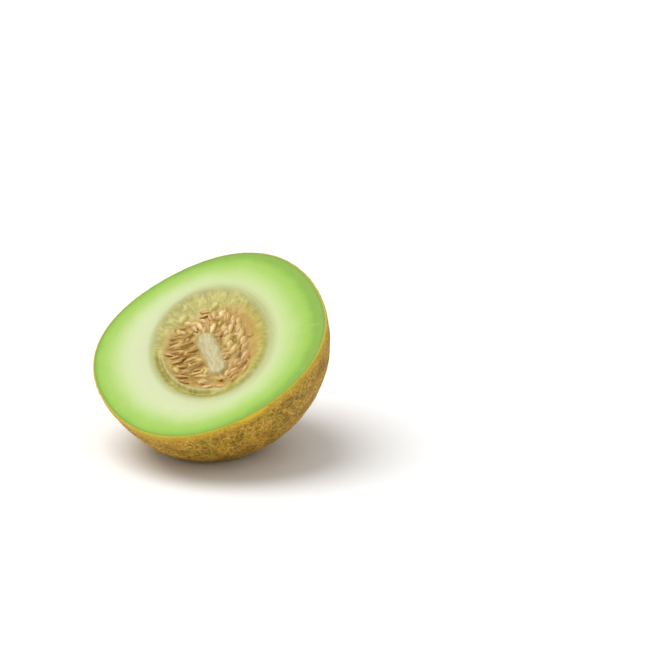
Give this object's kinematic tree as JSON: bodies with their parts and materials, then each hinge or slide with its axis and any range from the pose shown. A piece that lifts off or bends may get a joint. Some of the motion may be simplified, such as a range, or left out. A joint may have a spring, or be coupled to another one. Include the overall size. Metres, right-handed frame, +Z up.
{
  "type": "honeydew melon half",
  "caption": "Half of a round netted melon with green flesh, cut lengthwise and lying on its rind, with the seed cavity, pulp and seeds showing.",
  "frame": {"origin": "on the ground under the middle of the half's box", "axes": "+Z up; the cut face looks up and leans 31 degrees over toward -Y; +X runs level across the cut face"},
  "size_m": [0.1556, 0.1418, 0.1085],
  "materials": {
    "melon": "satin",
    "pulp": "satin",
    "seed": "satin"
  },
  "bodies": {
    "root": {"melon_half": "melon", "seed_pulp": "pulp", "seed_01": "seed", "seed_02": "seed", "seed_03": "seed", "seed_04": "seed", "seed_05": "seed", "seed_06": "seed", "seed_07": "seed", "seed_08": "seed", "seed_09": "seed", "seed_10": "seed", "seed_11": "seed", "seed_12": "seed", "seed_13": "seed", "seed_14": "seed", "seed_15": "seed", "seed_16": "seed", "seed_17": "seed", "seed_18": "seed", "seed_19": "seed", "seed_20": "seed", "seed_21": "seed", "seed_22": "seed", "seed_23": "seed", "seed_24": "seed", "seed_25": "seed", "seed_26": "seed", "seed_27": "seed", "seed_28": "seed", "seed_29": "seed", "seed_30": "seed", "seed_31": "seed", "seed_32": "seed", "seed_33": "seed", "seed_34": "seed", "seed_35": "seed", "seed_36": "seed", "seed_37": "seed", "seed_38": "seed", "seed_39": "seed", "seed_40": "seed", "seed_41": "seed", "seed_42": "seed", "seed_43": "seed", "seed_44": "seed", "seed_45": "seed", "seed_46": "seed"}
  },
  "joints": []
}
